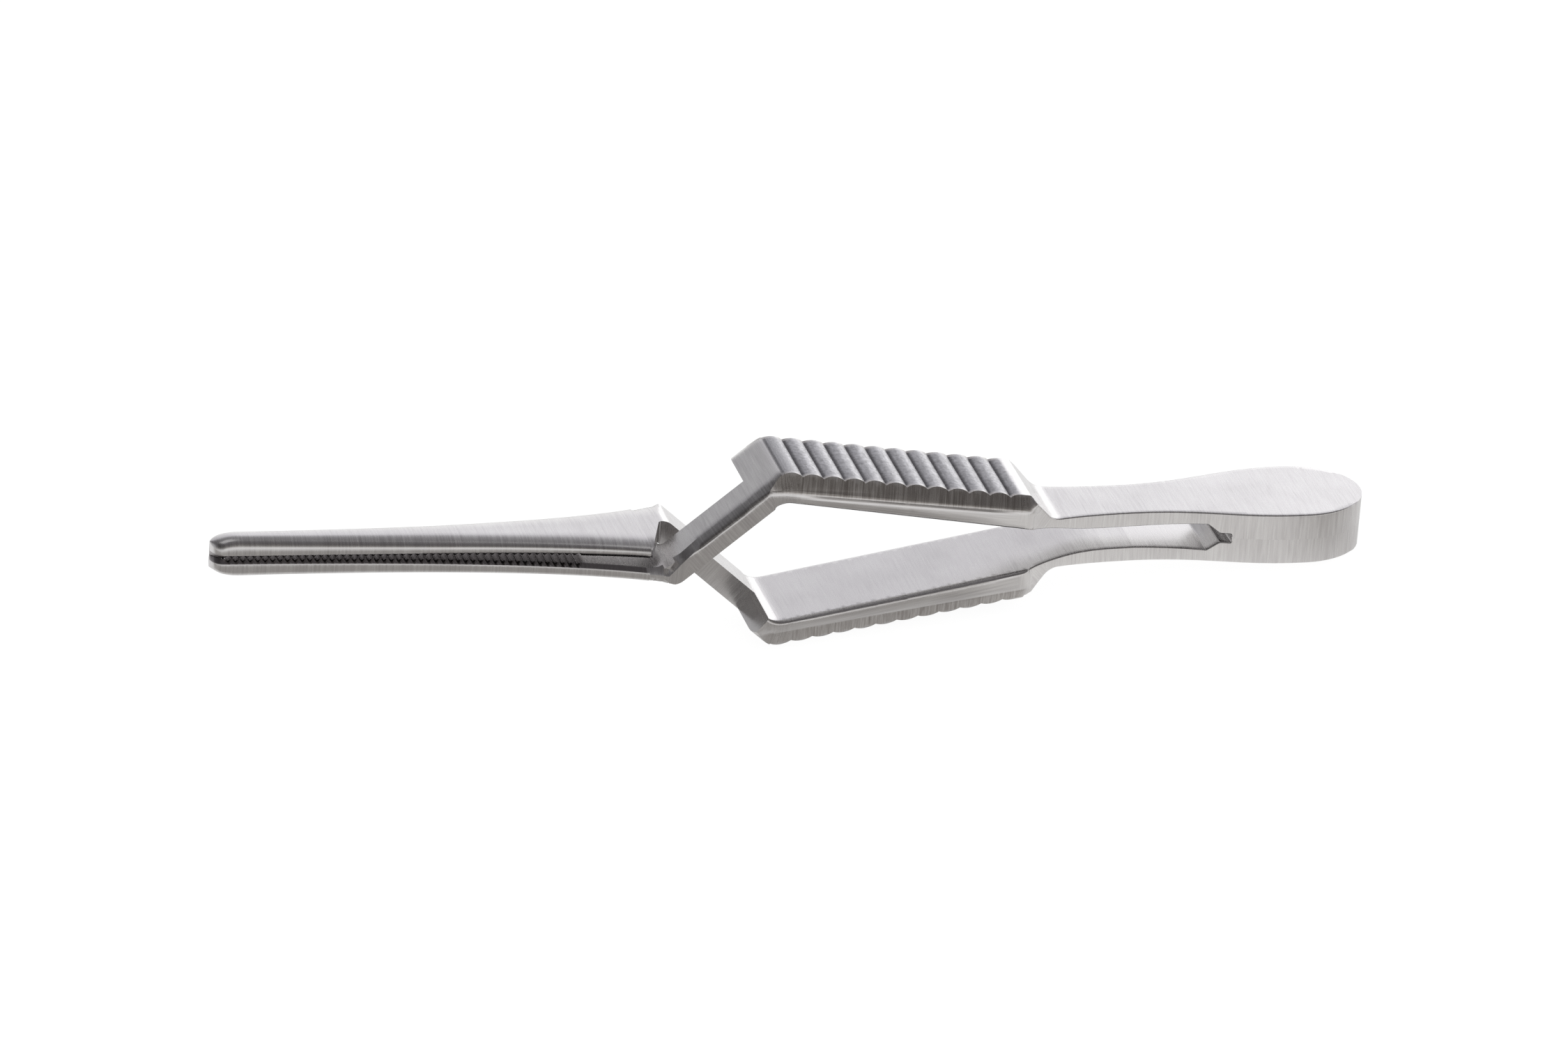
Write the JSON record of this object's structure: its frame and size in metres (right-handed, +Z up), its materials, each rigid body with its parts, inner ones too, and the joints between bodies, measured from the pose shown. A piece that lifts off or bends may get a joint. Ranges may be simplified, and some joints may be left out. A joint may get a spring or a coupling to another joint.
{
  "type": "bulldog clamp",
  "caption": "Cross-action spring clamp: slender serrated jaws held shut by bending leaves, ridged finger grips that open them when squeezed, and a flat paddle tail.",
  "frame": {"origin": "middle of the clamp's box on the surface it lies on", "axes": "+X from the jaws to the tail, +Y across the grips, +Z up, the way the jaws open"},
  "size_m": [0.0856, 0.0084, 0.0138],
  "materials": {
    "steel": "satin-ground stainless steel"
  },
  "bodies": {
    "upper_arm": {"upper_arm": "steel"},
    "lower_arm": {"lower_arm": "steel"}
  },
  "joints": [
    {"name": "grip_squeeze", "type": "hinge", "parent": "upper_arm", "child": "lower_arm", "pos_m": [0.02598, 0, 0.00381], "axis": [0, 1, 0], "range_deg": [0, 14], "stiffness_Nm_per_rad": 0.25, "springref_deg": -20.05}
  ]
}
